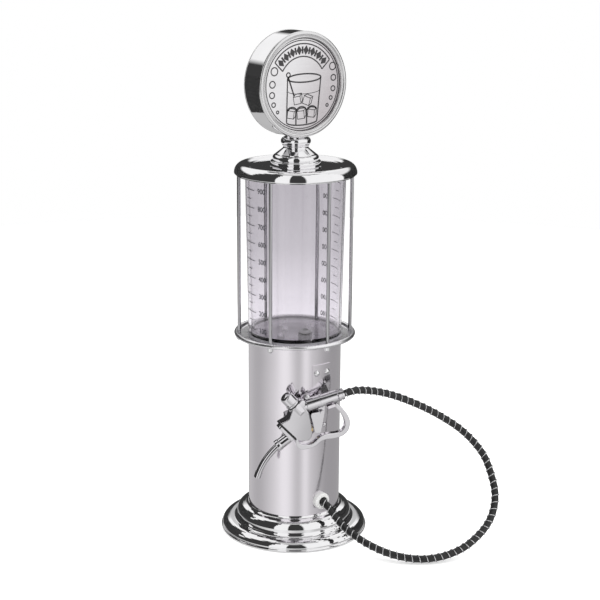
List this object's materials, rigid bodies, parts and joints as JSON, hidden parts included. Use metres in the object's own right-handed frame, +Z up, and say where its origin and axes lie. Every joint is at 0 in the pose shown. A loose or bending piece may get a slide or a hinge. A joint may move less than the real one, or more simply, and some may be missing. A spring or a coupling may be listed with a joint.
{
  "type": "drinks dispenser",
  "caption": "Tabletop drinks dispenser shaped like an old gas pump: stepped base, tube, clear tank in a rod cage, lid with round sign, hose and trigger nozzle.",
  "frame": {"origin": "centre of the base's underside, on the table", "axes": "+Z up, -Y to the front, where the sign faces and the nozzle hangs; +X to the right seen from the front"},
  "size_m": [0.2156, 0.2328, 0.484],
  "materials": {
    "pad_rubber": "matt black rubber",
    "base_chrome": "polished chrome plate",
    "zinc_steel": "bright zinc-plated steel, hidden",
    "tube_steel": "bright drawn steel tube, semi-mirror",
    "chrome": "polished chrome plate",
    "black_rubber": "black rubber",
    "clear_tank": "clear moulded plastic with a grey-lilac tint",
    "white_plastic": "white moulded plastic",
    "screen_steel": "perforated steel",
    "milky_hose": "milky soft tube",
    "satin_steel": "satin steel",
    "hose_black": "black hose with a bright wire wound round it",
    "sign_face": "satin plate, engraved",
    "nozzle_chrome": "polished die casting",
    "brass": "turned brass",
    "spring_steel": "spring wire"
  },
  "bodies": {
    "pump": {"foot_pad": "pad_rubber", "base_plate": "zinc_steel", "base_shell": "base_chrome", "tube_ring": "zinc_steel", "ring_bolts": "zinc_steel", "body_tube": "tube_steel", "tie_rods": "zinc_steel", "tie_nuts": "chrome", "collar": "chrome", "tank_gasket": "black_rubber", "gallery_rods": "chrome", "rod_nuts": "chrome", "tank": "clear_tank", "tank_rim_ring": "black_rubber", "upper_ring": "chrome", "ring_screws": "chrome", "drain_fitting": "white_plastic", "drain_seal": "black_rubber", "drain_nut": "white_plastic", "drain_strainer": "screen_steel", "inner_hose": "milky_hose", "hose_clips": "zinc_steel", "outlet_elbow": "white_plastic", "outlet_nut": "white_plastic", "outlet_grommet": "white_plastic", "holster": "tube_steel", "holster_screws": "chrome", "holster_nuts": "zinc_steel", "hose": "hose_black"},
    "lid": {"lid": "chrome", "lid_spigot": "white_plastic", "lid_seal": "black_rubber", "neck_foot": "chrome", "neck_stem": "chrome", "neck_stud": "zinc_steel", "neck_washer": "zinc_steel", "neck_nut": "zinc_steel", "sign_drum": "chrome", "sign_saddle": "zinc_steel", "sign_nut": "zinc_steel", "sign_front_bezel": "satin_steel", "sign_back_bezel": "satin_steel", "sign_front_plate": "sign_face", "sign_back_plate": "sign_face"},
    "nozzle": {"nozzle_body": "nozzle_chrome", "nozzle_cap": "nozzle_chrome", "cap_seal": "black_rubber", "bleed_screw": "nozzle_chrome", "spout_gasket": "black_rubber", "spout_flange": "nozzle_chrome", "spout": "nozzle_chrome", "handle": "nozzle_chrome", "hose_swivel": "nozzle_chrome", "guard": "nozzle_chrome", "trigger_pin": "nozzle_chrome", "packing_gland": "brass", "valve_spring": "spring_steel"},
    "trigger": {"trigger": "nozzle_chrome"},
    "valve": {"valve_stem": "nozzle_chrome", "valve_seal": "black_rubber"}
  },
  "joints": [
    {"name": "lid_lift", "type": "slide", "parent": "pump", "child": "lid", "axis": [0, 0, 1], "range_m": [0, 0.06]},
    {"name": "nozzle_lift", "type": "slide", "parent": "pump", "child": "nozzle", "axis": [-0.2962, -0.8138, 0.5], "range_m": [0, 0.035]},
    {"name": "trigger_squeeze", "type": "hinge", "parent": "nozzle", "child": "trigger", "pos_m": [-0.00846, -0.05492, 0.1358], "axis": [-0.342, -0.9397, 0], "range_deg": [0, 15], "stiffness_Nm_per_rad": 0.12},
    {"name": "valve_open", "type": "slide", "parent": "nozzle", "child": "valve", "axis": [0.9137, -0.3326, 0.2334], "range_m": [0, 0.0038], "deforming": ["valve_spring"]}
  ],
  "couplings": [
    {"joint": "valve_open", "follows": "trigger_squeeze", "m_per_rad": 0.0142}
  ]
}
